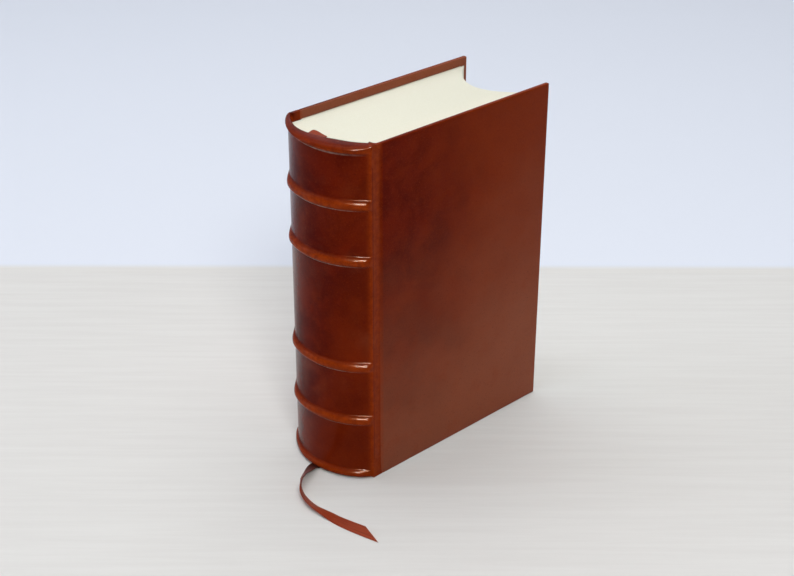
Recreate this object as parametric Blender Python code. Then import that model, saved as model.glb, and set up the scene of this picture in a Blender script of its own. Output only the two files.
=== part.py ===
"""Full leather book with a rounded spine, four raised bands and a ribbon marker.

The book stands on the tail edges of its boards.  X runs from the spine to the fore edge,
Y from the front cover (-Y) to the back cover (+Y) and Z from tail to head.  The origin is
at the middle of the footprint, on the surface that the book stands on.
All sizes are in metres.
"""
import math

import bmesh
import bpy
from mathutils import Vector

# Whole book
BOARD_HEIGHT = 0.216         # height of the covers
COVER_WIDTH = 0.1436         # from the shoulder of the spine to the fore edge
BOOK_THICKNESS = 0.0701      # over both covers
SEAT = 0.0003                # gap left between two pieces that touch

# Covers
LEATHER = 0.0006             # cover leather
PARED_LEATHER = 0.0004       # leather thinned for the turn-ins
BOARD_THICKNESS = 0.0012
TURN_IN = 0.0050             # strip of leather that shows on the inside of a cover
EDGE_ROUND = 0.0007          # rounding of the covered board edges
BOARD_CHAMFER = 0.0003       # broken edge of the bare board
GROOVE_WIDTH = 0.0063        # French groove between the shoulder and the board
GROOVE_DEPTH = 0.00115       # groove floor below the outer face of the cover
GROOVE_EASE = 0.0004         # foot of the slope from the groove up to the board
HINGE_FROM_SHOULDER = 0.0033 # line on which a cover turns
BACK_COVER_SHORT = 0.0012    # the back cover ends this much before the front one

# Spine leather
SPINE_ROUND = 0.0170         # how far the spine stands out from its shoulders
SHOULDER_INSET = 0.00035     # shoulder ridge below the outer face of the cover
SHOULDER_RIDGE = 0.0015      # width of the ridge on its groove side
RIDGE_SWELL = (-0.00012, 0.00022)     # fullness of the slope up to the ridge
RIDGE_FALL = (0.45, 0.00025)          # share of the ridge's width, and the fall there
JOINT_EASE = ((0.0002, 0.00015), (0.0005, 0.00005), (0.0010, 0.0))   # inside, past the round
RIDGE_RUN = 2.7              # degrees of the spine's arc that its shoulder ridge takes
HEAD_CAP_INSET = 0.0001      # head cap below the head of the boards
TAIL_CAP_INSET = 0.0006      # tail cap above the surface that the book stands on
CAP_HEIGHT = 0.0059
CAP_ROUND = 0.0020           # rounding of the cap's outer edge
CAP_LIP_ROUND = 0.0013       # rounding of the cap's inner edge
LIP_LEAN = 0.0030            # how far a cap leans in over the leaves on the front half
LIP_LEAST = 0.0001           # the same on the back half
LIP_FROM, LIP_TO = 0.012, -0.018      # Y between which the lean grows
LIP_FOCUS = (-0.045, 0.0)    # plan point that the caps lean towards
LIP_SIDE, LIP_UNDER = 0.0026, 0.0034  # ends of the lip's side and underside, below its top
CAP_TURN_IN = 0.0120         # leather turned down inside the spine
JOINT_FOLD = 0.0015          # thickness of the leather folded over at the ends of the groove

# Raised bands
BANDS_FROM_TAIL = (0.0410, 0.0774)    # heights of the lower bands
BANDS_FROM_HEAD = (0.0699, 0.0352)    # the upper bands, down from the head of the boards
BAND_WIDTH = 0.0062
BAND_HEIGHT = 0.0027         # how far a band and the caps stand out
BAND_RUN_OUT = 2.0           # degrees over which a band sinks before the ridge
BAND_END_SHARE = 0.6         # part of its height that a band keeps at the shoulder angle
CORE_SHORT = 3.5             # degrees that card strips and cords end before the bands do

# Leaves
SQUARE = 0.0048              # how far the boards stand past the leaves at head and tail
FORE_SQUARE = 0.0040         # the same at the fore edge
BACK_ROUND = 0.0120          # round of the backs of the leaves
BACK_SHORT = 0.27            # degrees that the turned-in leather ends before their shoulder
FORE_EDGE_HOLLOW = 0.0225    # depth of the hollow fore edge
FORE_EDGE_LEAN = -0.0015     # where the hollow is deepest, from the middle
SHOULDER_OF_LEAVES = 0.0003  # how far the backed leaves flare at the shoulder

# Spine lining
LINER_THICKNESS = 0.0005     # card strip that carries the bands
MULL_THICKNESS = 0.0005      # open cloth glued to the backs of the leaves
MULL_SHORT = 0.0020          # gap between the mull and the turned-in caps
CAP_CORD_HEIGHT = 0.0037

# Ribbon marker
RIBBON_WIDTH = 0.0072
RIBBON_THICKNESS = 0.00025
RIBBON_Y = 0.0070            # middle of the ribbon on the backs of the leaves
RIBBON_GLUED = 0.0600        # length glued to the backs
RIBBON_BED = 0.0004          # depth of its middle below the round of the backs
RIBBON_REACH = 0.0108        # from the middle of the backs to the ribbon's far edge
RIBBON_PIVOT = 0.0003        # from the ribbon's near edge to the point it turns about
RIBBON_BEND = 0.0006         # radius of its small bends
RIBBON_CUT = 0.0133          # slant of its cut end
CUT_STATIONS = 6             # stations of the ribbon over which the slant grows
SLOT_GAP = 0.0003
RIBBON_LIFT = 0.00005        # least height of the ribbon above the table
# Route of the free end: X from the shoulder line, Y, roll in degrees
FREE_ROUTE = (
    (-0.0115, -0.0021, 0), (-0.0155, -0.0014, 0), (-0.0191, -0.0010, 3), (-0.0224, -0.0022, 15),
    (-0.0264, -0.0043, 29), (-0.0311, -0.0064, 44), (-0.0350, -0.0091, 62), (-0.0393, -0.0130, 87),
    (-0.0430, -0.0179, 112), (-0.0451, -0.0219, 130), (-0.0467, -0.0272, 143),
    (-0.0473, -0.0338, 153), (-0.0464, -0.0408, 166), (-0.0454, -0.0476, 178),
    (-0.0449, -0.0542, 185), (-0.0437, -0.0621, 191), (-0.0422, -0.0690, 194),
    (-0.0404, -0.0762, 196),
)

SIDE_NAMES = {-1: "front", 1: "back"}
OVERCUT = 0.0010             # how far a cutter runs past what it cuts
CORD_FILL = 0.95             # share of the room in a cap that its cord takes
TURNED_POINTS = 6            # section points on each turned-in end of the leather
SPINE_STEPS = 14             # facets along the round of the spine
HALF_BOOK = BOOK_THICKNESS / 2
COVER_THICKNESS = LEATHER + SEAT + BOARD_THICKNESS + SEAT + PARED_LEATHER
SHOULDER_X = (SPINE_ROUND + BAND_HEIGHT - COVER_WIDTH) / 2   # spine leather meets the groove
FORE_EDGE_X = SHOULDER_X + COVER_WIDTH
HINGE_X = SHOULDER_X + HINGE_FROM_SHOULDER
GROOVE_Y = HALF_BOOK - GROOVE_DEPTH
SHOULDER_Y = HALF_BOOK - SHOULDER_INSET
HALF_LEAVES = HALF_BOOK - COVER_THICKNESS - SEAT
LEAVES_TAIL = SQUARE
LEAVES_HEAD = BOARD_HEIGHT - SQUARE
CAP_HEAD_Z = BOARD_HEIGHT - HEAD_CAP_INSET
CAP_TAIL_Z = TAIL_CAP_INSET
LINER_OUT = -(LEATHER + SEAT)           # outer face of the liner, from the spine's surface
CORE_BASE = LINER_OUT + SEAT


def arc_radius(half_width, rise):
    return (half_width ** 2 + rise ** 2) / (2 * rise)


SPINE_RADIUS = arc_radius(SHOULDER_Y, SPINE_ROUND)
SPINE_CENTRE_X = SHOULDER_X - SPINE_ROUND + SPINE_RADIUS
BACK_HALF = HALF_LEAVES + SHOULDER_OF_LEAVES
BACK_RADIUS = arc_radius(BACK_HALF, BACK_ROUND)
BACK_CENTRE_X = SHOULDER_X - BACK_ROUND + BACK_RADIUS
BACK_APEX_X = SHOULDER_X - BACK_ROUND
SHOULDER_ANGLE = math.degrees(math.asin(SHOULDER_Y / SPINE_RADIUS)) - RIDGE_RUN
BAND_FULL_ANGLE = SHOULDER_ANGLE - BAND_RUN_OUT
CORE_ANGLE = BAND_FULL_ANGLE - CORE_SHORT
BACK_LIMIT = math.degrees(math.asin(BACK_HALF / BACK_RADIUS))
BACK_ANGLE_SHARE = (BACK_LIMIT - BACK_SHORT) / SHOULDER_ANGLE
BAND_CENTRES = BANDS_FROM_TAIL + tuple(BOARD_HEIGHT - down for down in BANDS_FROM_HEAD)
RIBBON_BACK_X = (BACK_CENTRE_X + RIBBON_BED
                 - math.sqrt(BACK_RADIUS ** 2 - (RIBBON_Y + RIBBON_WIDTH / 2) ** 2))
RIBBON_SLOT_X = BACK_APEX_X + RIBBON_REACH - RIBBON_WIDTH / 2
RIBBON_SLOT_Y = RIBBON_Y - RIBBON_WIDTH / 2 - 2 * RIBBON_PIVOT - RIBBON_BEND


def material(name, colour, roughness, metallic=0.0):
    """A plain Principled material; the colour is given as linear red, green and blue."""
    made = bpy.data.materials.new(name)
    made.use_nodes = True
    shader = made.node_tree.nodes["Principled BSDF"]
    shader.inputs["Base Color"].default_value = (*colour, 1.0)
    shader.inputs["Roughness"].default_value = roughness
    shader.inputs["Metallic"].default_value = metallic
    made.diffuse_color = (*colour, 1.0)
    return made


def add_object(name, mesh, mat, parent=None):
    """Put a mesh that is given in the book's own frame under its parent, in place."""
    mesh.materials.append(mat)
    made = bpy.data.objects.new(name, mesh)
    bpy.context.scene.collection.objects.link(made)
    if parent is not None:
        made.parent = parent
        made.matrix_parent_inverse.identity()
        mesh.transform(parent.matrix_world.inverted())
    mesh.shade_smooth()
    mesh.set_sharp_from_angle(angle=math.radians(35))
    return made


def mesh_from(name, vertices, faces):
    mesh = bpy.data.meshes.new(name)
    mesh.from_pydata([tuple(v) for v in vertices], [], faces)
    mesh.validate()
    work = bmesh.new()
    work.from_mesh(mesh)
    bmesh.ops.recalc_face_normals(work, faces=work.faces)
    work.to_mesh(mesh)
    work.free()
    return mesh


def loft(name, rings):
    """Join closed rings of equal length into one solid, with a flat cap at each end."""
    count = len(rings[0])
    vertices = [point for ring in rings for point in ring]
    faces = []
    for low in range(len(rings) - 1):
        a, b = low * count, (low + 1) * count
        for k in range(count):
            n = (k + 1) % count
            faces.append((a + k, a + n, b + n, b + k))
    faces.append(tuple(reversed(range(count))))
    last = (len(rings) - 1) * count
    faces.append(tuple(last + k for k in range(count)))
    return mesh_from(name, vertices, faces)


def prism(name, outline, low, high):
    """An upright solid on a plan outline."""
    return loft(name, [[(x, y, z) for x, y in outline] for z in (low, high)])


def box_mesh(name, x, y, z, chamfer=0.0):
    work = bmesh.new()
    bmesh.ops.create_cube(work, size=1.0)
    for vertex in work.verts:
        for axis, (low, high) in enumerate((x, y, z)):
            vertex.co[axis] = high if vertex.co[axis] > 0 else low
    if chamfer:
        bmesh.ops.bevel(work, geom=work.edges[:], offset=chamfer, segments=1, affect="EDGES")
    mesh = bpy.data.meshes.new(name)
    work.to_mesh(mesh)
    work.free()
    return mesh


def cutter(name, x, y, z):
    """A box that only cuts, hidden from the finished model."""
    made = bpy.data.objects.new(name, box_mesh(name, x, y, z))
    bpy.context.scene.collection.objects.link(made)
    made.hide_render = True
    made.display_type = "WIRE"
    return made


def cut(target, tool):
    if target.parent is not None:
        tool.parent = target.parent
        tool.matrix_parent_inverse.identity()
        tool.data.transform(target.parent.matrix_world.inverted())
    modifier = target.modifiers.new(tool.name, "BOOLEAN")
    modifier.operation = "DIFFERENCE"
    modifier.solver = "EXACT"
    modifier.object = tool


def spine_station(angle):
    """Plan point on the spine's round; a negative angle is on the front half."""
    a = math.radians(angle)
    return Vector((SPINE_CENTRE_X - SPINE_RADIUS * math.cos(a), SPINE_RADIUS * math.sin(a)))


def back_station(angle, clear=0.0):
    """Plan point on the backs of the leaves, or at a distance outside them."""
    a = math.radians(angle)
    radius = BACK_RADIUS + clear
    return Vector((BACK_CENTRE_X - radius * math.cos(a), radius * math.sin(a)))


def band_share(angle):
    """Share of their height that bands and caps have at an angle on the spine."""
    if abs(angle) <= BAND_FULL_ANGLE:
        return 1.0
    run = (abs(angle) - BAND_FULL_ANGLE) / (SHOULDER_ANGLE - BAND_FULL_ANGLE)
    return 1.0 - (1.0 - BAND_END_SHARE) * run


def round_angles():
    """Angles of the facets along the full height of the bands."""
    return [BAND_FULL_ANGLE * (2 * i / SPINE_STEPS - 1) for i in range(SPINE_STEPS + 1)]


def core_angles():
    """The same facets for the pieces under the leather, ended at their own edges."""
    kept = [angle for angle in round_angles() if abs(angle) < CORE_ANGLE - 1]
    return [-CORE_ANGLE, *kept, CORE_ANGLE]


def round_station(angle):
    """Outer point of the spine's surface and the inner point that the caps turn in to."""
    return spine_station(angle), back_station(angle * BACK_ANGLE_SHARE, SEAT)


def lip_lean(y):
    """How far the caps lean in over the leaves; more on the front half than on the back."""
    grown = min(1.0, max(0.0, (LIP_FROM - y) / (LIP_FROM - LIP_TO)))
    return LIP_LEAST + (LIP_LEAN - LIP_LEAST) * grown * grown * (3 - 2 * grown)


def spine_stations():
    """Stations from the front groove round the spine to the back groove.

    Each is the outer point, the point inside it that the turned-in leather reaches,
    and the share of the band height there.
    """
    round_part = [(*round_station(angle), band_share(angle))
                  for angle in [-SHOULDER_ANGLE, *round_angles(), SHOULDER_ANGLE]]
    fold_y = GROOVE_Y - JOINT_FOLD
    start, start_inside = round_station(SHOULDER_ANGLE)
    crest = Vector((SHOULDER_X, SHOULDER_Y))
    floor_x = SHOULDER_X + SHOULDER_RIDGE
    outer = [
        start.lerp(crest, 0.5) + Vector(RIDGE_SWELL),
        crest,
        Vector((SHOULDER_X + RIDGE_FALL[0] * SHOULDER_RIDGE, SHOULDER_Y - RIDGE_FALL[1])),
        Vector((floor_x, GROOVE_Y)),
        Vector((HINGE_X - SEAT / 2, GROOVE_Y)),
    ]
    inner = [Vector((start_inside.x + past, fold_y + out)) for past, out in JOINT_EASE]
    inner.append(Vector((floor_x, fold_y)))
    inner.append(Vector((HINGE_X - SEAT / 2, fold_y)))
    shares = (0.3, 0.0, 0.0, 0.0, 0.0)
    back_side = list(zip(outer, inner, shares))
    front_side = [(Vector((o.x, -o.y)), Vector((i.x, -i.y)), s) for o, i, s in back_side]
    return front_side[::-1] + round_part + back_side


def band_profile(share):
    """Offsets and heights of one raised band, from its tail side to its head side."""
    shape = ((-1.28, 0.0), (-1.0, 0.13), (-0.82, 0.55), (-0.5, 0.88), (0.0, 1.0))
    points = [(rise * BAND_HEIGHT * share, t * BAND_WIDTH / 2) for t, rise in shape]
    return points + [(rise, -z) for rise, z in points[-2::-1]]


def cap_profile(share, depth, lean):
    """Section of a cap from the panel over the top to the end of its turn-in.

    Offsets are outwards from the spine's surface and heights are down from the cap's top.
    """
    swell = BAND_HEIGHT * share
    full = min(1.0, (depth - JOINT_FOLD) / JOINT_FOLD)
    small = JOINT_FOLD / 2
    outer_round = small + (CAP_ROUND - small) * max(share, 0.35 * full)
    lip_round = small + (CAP_LIP_ROUND - small) * full
    points = [(0.0, CAP_HEIGHT * 1.06)]
    for rise, drop in ((0.18, 0.95), (0.62, 0.84), (0.93, 0.66)):
        points.append((swell * rise, CAP_HEIGHT * drop))
    for step in range(5):
        a = math.radians(22.5 * step)
        points.append((swell - outer_round * (1 - math.cos(a)), outer_round * (1 - math.sin(a))))
    lip = -depth - lean
    for step in range(4):
        a = math.radians(30 * step)
        points.append((lip + lip_round * (1 - math.sin(a)), lip_round * (1 - math.cos(a))))
    points += [(lip, LIP_SIDE), (-depth, LIP_UNDER), (-depth, CAP_TURN_IN)]
    return points


def leather_line(share, depth, lean):
    """The grain side of the spine leather in section, from the tail turn-in to the head's."""
    cap = cap_profile(share, depth, lean)
    line = [(d, CAP_TAIL_Z + z) for d, z in reversed(cap)]
    for centre in BAND_CENTRES:
        line += [(d, centre + z) for d, z in band_profile(share)]
    return line + [(d, CAP_HEAD_Z - z) for d, z in cap]


def flesh_side(line):
    """The line set in by the leather's thickness, which is pared where it turns in."""
    inset = []
    last = len(line) - 1
    for k, (d, z) in enumerate(line):
        thickness = PARED_LEATHER if min(k, last - k) < TURNED_POINTS else LEATHER
        before = Vector(line[max(k - 1, 0)])
        after = Vector(line[min(k + 1, len(line) - 1)])
        here = Vector((d, z))
        one = (here - before).normalized() if k else (after - here).normalized()
        two = (after - here).normalized() if k < len(line) - 1 else one
        along = (one + two).normalized()
        reach = thickness / max(0.75, along.dot(one))
        inset.append((d - along.y * reach, z + along.x * reach))
    return inset


def plan_point(outer, inner, d):
    """Plan point at an offset from the spine's surface; past the inner point it leans in."""
    past = -d - (outer - inner).length
    if past <= 0:
        return outer + (outer - inner).normalized() * d
    return inner + (Vector(LIP_FOCUS) - inner).normalized() * past


def spine_leather(mat):
    rings = []
    for outer, inner, share in spine_stations():
        line = leather_line(share, (outer - inner).length, lip_lean(inner.y))
        ring = line + flesh_side(line)[::-1]
        rings.append([(*plan_point(outer, inner, d), z) for d, z in ring])
    return add_object("spine_leather", loft("spine_leather", rings), mat)


def round_strip(name, mat, section_at):
    """Sweep a section round the spine under the leather.

    section_at gives the section's (outward offset, height) points for a depth of the caps.
    """
    rings = []
    for angle in core_angles():
        outer, inner = round_station(angle)
        section = section_at((outer - inner).length)
        rings.append([(*plan_point(outer, inner, d), z) for d, z in section])
    return add_object(name, loft(name, rings), mat)


def spine_liner(mat):
    reach = LEATHER + SEAT + CAP_CORD_HEIGHT + SEAT
    low, high = CAP_TAIL_Z + reach, CAP_HEAD_Z - reach
    inner = LINER_OUT - LINER_THICKNESS
    section = [(LINER_OUT, low), (LINER_OUT, high), (inner, high), (inner, low)]
    return round_strip("spine_liner", mat, lambda depth: section)


def raised_bands(mat):
    """Half-round strips on the liner, one under each band of the leather."""
    rise = BAND_HEIGHT - LEATHER - SEAT - CORE_BASE
    half = BAND_WIDTH / 2 - LEATHER - SEAT
    for number, centre in enumerate(BAND_CENTRES, 1):
        section = []
        for step in range(7):
            a = math.radians(30 * step)
            section.append((CORE_BASE + rise * math.sin(a), centre + half * math.cos(a)))
        round_strip(f"raised_band_{number}", mat, lambda depth, points=section: points)


def cap_cord(name, mat, z):
    """A flattened cord that fills a cap; it narrows with the cap towards the shoulders."""
    def section(depth):
        outer = BAND_HEIGHT - LEATHER - SEAT
        inner = -(depth - PARED_LEATHER - SEAT)
        centre, half = (outer + inner) / 2, (outer - inner) / 2 * CORD_FILL
        points = []
        for step in range(10):
            a = math.radians(36 * step)
            points.append((centre + half * math.cos(a), z + CAP_CORD_HEIGHT / 2 * math.sin(a)))
        return points

    return round_strip(name, mat, section)


def cap_cords(mat):
    reach = LEATHER + SEAT + CAP_CORD_HEIGHT / 2
    cap_cord("head_cap_cord", mat, CAP_HEAD_Z - reach)
    cap_cord("tail_cap_cord", mat, CAP_TAIL_Z + reach)


def spine_mull(mat):
    """Open cloth on the backs of the leaves, between the turned-in caps."""
    low = CAP_TAIL_Z + CAP_TURN_IN + MULL_SHORT
    high = CAP_HEAD_Z - CAP_TURN_IN - MULL_SHORT
    rings = []
    for angle in core_angles():
        turn = angle * BACK_ANGLE_SHARE
        near, far = back_station(turn, SEAT), back_station(turn, SEAT + MULL_THICKNESS)
        rings.append([(near.x, near.y, low), (far.x, far.y, low),
                      (far.x, far.y, high), (near.x, near.y, high)])
    return add_object("spine_mull", loft("spine_mull", rings), mat)


def leaves_outline():
    """Plan of the leaves: hollow fore edge, flat sides, small shoulders and round back."""
    corner_x = FORE_EDGE_X - FORE_SQUARE
    start = Vector((corner_x, -HALF_LEAVES))
    end = Vector((corner_x, HALF_LEAVES))
    pull = Vector((corner_x - 2 * FORE_EDGE_HOLLOW, 2 * FORE_EDGE_LEAN))
    outline = []
    for step in range(25):
        t = step / 24
        outline.append((1 - t) ** 2 * start + 2 * t * (1 - t) * pull + t ** 2 * end)
    shoulder_x = SHOULDER_X + GROOVE_WIDTH
    outline.append(Vector((shoulder_x, HALF_LEAVES)))
    for step in range(25):
        outline.append(back_station(BACK_LIMIT * (1 - step / 12)))
    outline.append(Vector((shoulder_x, -HALF_LEAVES)))
    return outline


def text_block(mat):
    block = add_object("text_block",
                       prism("text_block", leaves_outline(), LEAVES_TAIL, LEAVES_HEAD), mat)
    half = RIBBON_WIDTH / 2 + SLOT_GAP
    glued = RIBBON_BACK_X + RIBBON_THICKNESS / 2 + SLOT_GAP
    cut(block, cutter("glued_ribbon_bed", (BACK_APEX_X - OVERCUT, glued),
                      (RIBBON_Y - half, RIBBON_Y + half),
                      (LEAVES_HEAD - RIBBON_GLUED - SLOT_GAP, LEAVES_HEAD + OVERCUT)))
    thick = RIBBON_THICKNESS / 2 + SLOT_GAP
    middle = RIBBON_SLOT_X
    cut(block, cutter("ribbon_slot", (middle - half, middle + half),
                      (RIBBON_SLOT_Y - thick, RIBBON_SLOT_Y + thick),
                      (LEAVES_TAIL - OVERCUT, LEAVES_HEAD + OVERCUT)))
    return block


def fore_edge(side):
    """X of a cover's fore edge: -1 is the front cover, +1 the back."""
    return FORE_EDGE_X - (BACK_COVER_SHORT if side > 0 else 0.0)


def cover_outline(fore):
    """Plan of the leather over the front board, from the groove round to the inside."""
    outer, inner = -HALF_BOOK, -HALF_BOOK + COVER_THICKNESS
    floor = -GROOVE_Y
    edge = SHOULDER_X + GROOVE_WIDTH
    round_steps = [math.radians(30 * k) for k in range(4)]
    points = [Vector((HINGE_X + SEAT / 2, floor + JOINT_FOLD)),
              Vector((HINGE_X + SEAT / 2, floor))]
    points.append(Vector((edge - GROOVE_EASE, floor)))
    points.append(Vector((edge, floor - GROOVE_EASE / 2)))
    for a in round_steps:
        points.append(Vector((edge + GROOVE_EASE / 4 + EDGE_ROUND * (1 - math.cos(a)),
                              outer + EDGE_ROUND * (1 - math.sin(a)))))
    for a in round_steps:
        points.append(Vector((fore - EDGE_ROUND * (1 - math.sin(a)),
                              outer + EDGE_ROUND * (1 - math.cos(a)))))
    for a in round_steps:
        points.append(Vector((fore - EDGE_ROUND * (1 - math.cos(a)),
                              inner - EDGE_ROUND * (1 - math.sin(a)))))
    points.append(Vector((edge, inner)))
    return points


def set_in(points, fore, amount):
    """Draw a plan outline in, towards the middle plane of the cover and away from its edges."""
    middle = -HALF_BOOK + COVER_THICKNESS / 2
    drawn = []
    for p in points:
        y = p.y + amount if p.y < middle else p.y - amount
        x = min(p.x, fore - amount)
        drawn.append(Vector((x, y)))
    return drawn


def cover_leather(side, hinge, mat):
    """Leather round one board: outer face, three turned-in edges and its half of the groove."""
    fore = fore_edge(side)
    outline = cover_outline(fore)
    levels = []
    for k in range(4):
        a = math.radians(30 * k)
        levels.append((EDGE_ROUND * (1 - math.cos(a)), EDGE_ROUND * (1 - math.sin(a))))
    solid = []
    for up, amount in levels:
        solid.append([(p.x, side * -p.y, up) for p in set_in(outline, fore, amount)])
    for up, amount in reversed(levels):
        top = BOARD_HEIGHT - up
        solid.append([(p.x, side * -p.y, top) for p in set_in(outline, fore, amount)])
    name = f"{SIDE_NAMES[side]}_cover_leather"
    leather = add_object(name, loft(name, solid), mat, hinge)
    y_out = HALF_BOOK - LEATHER
    y_in = HALF_BOOK - COVER_THICKNESS + PARED_LEATHER
    x_low = SHOULDER_X + GROOVE_WIDTH + LEATHER
    cut(leather, cutter(f"{name}_board_pocket", (x_low, fore - LEATHER),
                        side_range(side, y_in, y_out), (LEATHER, BOARD_HEIGHT - LEATHER)))
    inside = HALF_BOOK - COVER_THICKNESS - OVERCUT
    cut(leather, cutter(f"{name}_window", (HINGE_X - OVERCUT, fore - TURN_IN),
                        side_range(side, inside, GROOVE_Y - LEATHER),
                        (TURN_IN, BOARD_HEIGHT - TURN_IN)))
    return leather


def side_range(side, low, high):
    """A span of Y on one side of the book: -1 is the front, +1 the back."""
    return (low, high) if side > 0 else (-high, -low)


def board(side, hinge, mat):
    name = f"{SIDE_NAMES[side]}_board"
    outer = HALF_BOOK - LEATHER - SEAT
    x = (SHOULDER_X + GROOVE_WIDTH + LEATHER + SEAT, fore_edge(side) - LEATHER - SEAT)
    z = (LEATHER + SEAT, BOARD_HEIGHT - LEATHER - SEAT)
    mesh = box_mesh(name, x, side_range(side, outer - BOARD_THICKNESS, outer), z, BOARD_CHAMFER)
    return add_object(name, mesh, mat, hinge)


def pastedown(side, hinge, mat):
    name = f"{SIDE_NAMES[side]}_pastedown"
    inner = HALF_BOOK - COVER_THICKNESS
    x = (SHOULDER_X + GROOVE_WIDTH + LEATHER + SEAT, fore_edge(side) - TURN_IN - SEAT)
    z = (TURN_IN + SEAT, BOARD_HEIGHT - TURN_IN - SEAT)
    mesh = box_mesh(name, x, side_range(side, inner, inner + PARED_LEATHER), z)
    return add_object(name, mesh, mat, hinge)


def hinge_empty(side):
    """The line on which a cover turns, on the cover's outer face in the groove."""
    empty = bpy.data.objects.new(f"{SIDE_NAMES[side]}_cover_hinge", None)
    empty.location = (HINGE_X, side * HALF_BOOK, BOARD_HEIGHT / 2)
    bpy.context.scene.collection.objects.link(empty)
    bpy.context.view_layer.update()
    return empty


def smooth_route(points, parts):
    """Points on a smooth curve through a route; each point may carry more numbers."""
    rows = [points[0], *points, points[-1]]
    curve = []
    for k in range(1, len(rows) - 2):
        p0, p1, p2, p3 = (Vector(rows[k + j]) for j in (-1, 0, 1, 2))
        for step in range(parts):
            t = step / parts
            curve.append(0.5 * (2 * p1 + (p2 - p0) * t + (2 * p0 - 5 * p1 + 4 * p2 - p3) * t ** 2
                                + (3 * p1 - p0 - 3 * p2 + p3) * t ** 3))
    curve.append(Vector(points[-1]))
    return curve


def bend(centre, start, end, radius, width_axis):
    """Frames of a small bend between two directions from its centre."""
    frames = []
    for step in range(4):
        a = math.pi / 2 * step / 3
        at = Vector(centre) + radius * (math.cos(a) * Vector(start) + math.sin(a) * Vector(end))
        frames.append((at, Vector(width_axis)))
    return frames


def ribbon_frames():
    """Middle points and width directions of the ribbon, from its glued end to its cut end."""
    x, y, z = Vector((1, 0, 0)), Vector((0, 1, 0)), Vector((0, 0, 1))
    half, r = RIBBON_WIDTH / 2, RIBBON_BEND
    top = LEAVES_HEAD + SEAT + RIBBON_THICKNESS / 2
    flat = RIBBON_THICKNESS / 2 + RIBBON_LIFT
    frames = [(Vector((RIBBON_BACK_X, RIBBON_Y, LEAVES_HEAD - RIBBON_GLUED)), y)]
    frames += bend((RIBBON_BACK_X + r, RIBBON_Y, top - r), -x, z, r, y)
    turn = RIBBON_PIVOT + half
    corner = Vector((RIBBON_SLOT_X - turn, RIBBON_SLOT_Y + r + RIBBON_PIVOT, top))
    for step in range(5):
        a = math.radians(22.5 * step)
        out = math.sin(a) * x + math.cos(a) * y
        frames.append((corner + turn * out, out))
    frames += bend((RIBBON_SLOT_X, RIBBON_SLOT_Y + r, top - r), z, -y, r, x)
    frames += bend((RIBBON_SLOT_X, RIBBON_SLOT_Y - r, flat + r), y, -z, r, x)
    corner = Vector((RIBBON_SLOT_X - turn, RIBBON_SLOT_Y - r - RIBBON_PIVOT, flat))
    for step in range(5):
        a = math.radians(22.5 * step)
        out = math.cos(a) * x - math.sin(a) * y
        frames.append((corner + turn * out, out))
    return frames + free_frames()


def free_frames():
    """The free end: out under the tail cap, half a twist, and flat to its cut end."""
    route = smooth_route([(SHOULDER_X + px, py, roll) for px, py, roll in FREE_ROUTE], 3)
    frames = []
    for k, here in enumerate(route):
        before, after = route[max(k - 1, 0)], route[min(k + 1, len(route) - 1)]
        run = Vector((after.x - before.x, after.y - before.y, 0)).normalized()
        left = Vector((-run.y, run.x, 0))
        roll = math.radians(here.z)
        width = left * math.cos(roll) + Vector((0, 0, math.sin(roll)))
        height = RIBBON_WIDTH / 2 * abs(math.sin(roll))
        height += RIBBON_THICKNESS / 2 * max(abs(math.cos(roll)), 0.2) + RIBBON_LIFT
        frames.append((Vector((here.x, here.y, height)), width))
    return frames


def ribbon_marker(mat):
    frames = ribbon_frames()
    plain = len(frames) - 1 - CUT_STATIONS
    rings = []
    for k, (centre, width) in enumerate(frames):
        before, after = frames[max(k - 1, 0)][0], frames[min(k + 1, len(frames) - 1)][0]
        along = (after - before).normalized()
        across = width.normalized() * RIBBON_WIDTH / 2
        thick = along.cross(across).normalized() * RIBBON_THICKNESS / 2
        slant = along * RIBBON_CUT / 2 * max(0.0, (k - plain) / CUT_STATIONS)
        edge_a, edge_b = centre - across - slant, centre + across + slant
        rings.append([edge_a - thick, edge_b - thick, edge_b + thick, edge_a + thick])
    vertices = [point for ring in rings for point in ring]
    faces = [(3, 2, 1, 0), tuple(len(vertices) - 4 + k for k in range(4))]
    for low in range(0, len(vertices) - 4, 4):
        high = low + 4
        # Both broad sides are split on the same diagonal, so a twist keeps them parallel.
        faces += [(low, low + 1, high + 1), (low, high + 1, high),
                  (low + 1, low + 2, high + 2, high + 1),
                  (low + 2, low + 3, high + 2), (low + 3, high + 3, high + 2),
                  (low + 3, low, high, high + 3)]
    return add_object("ribbon_marker", mesh_from("ribbon_marker", vertices, faces), mat)


def build():
    for old in list(bpy.data.objects):
        bpy.data.objects.remove(old, do_unlink=True)
    leather = material("mahogany_leather", (0.120, 0.016, 0.006), 0.30)
    card = material("grey_card", (0.36, 0.33, 0.28), 0.9)
    paper = material("cream_paper", (0.83, 0.80, 0.68), 0.85)
    cloth = material("mull_cloth", (0.62, 0.58, 0.48), 0.95)
    cord = material("hemp_cord", (0.50, 0.40, 0.26), 0.9)
    satin = material("rust_satin", (0.22, 0.035, 0.015), 0.45)
    text_block(paper)
    spine_mull(cloth)
    spine_liner(card)
    raised_bands(card)
    cap_cords(cord)
    spine_leather(leather)
    for side in (-1, 1):
        hinge = hinge_empty(side)
        cover_leather(side, hinge, leather)
        board(side, hinge, card)
        pastedown(side, hinge, paper)
    ribbon_marker(satin)


build()
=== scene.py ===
# %% [markdown]
# # A full leather book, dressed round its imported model
# The book stands on the tail edges of its boards.  X runs from the spine to the fore edge,
# Y from the front cover to the back cover and Z from tail to head, all in metres.
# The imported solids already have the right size, so each piece below only has to follow
# them and add what a solid leaves out: the soft edges of leather, cut leaves, a ribbon.

# %% Load the frame
import math
from itertools import product

import bmesh
import bpy
import numpy as np
from mathutils import Matrix, Vector


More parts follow.
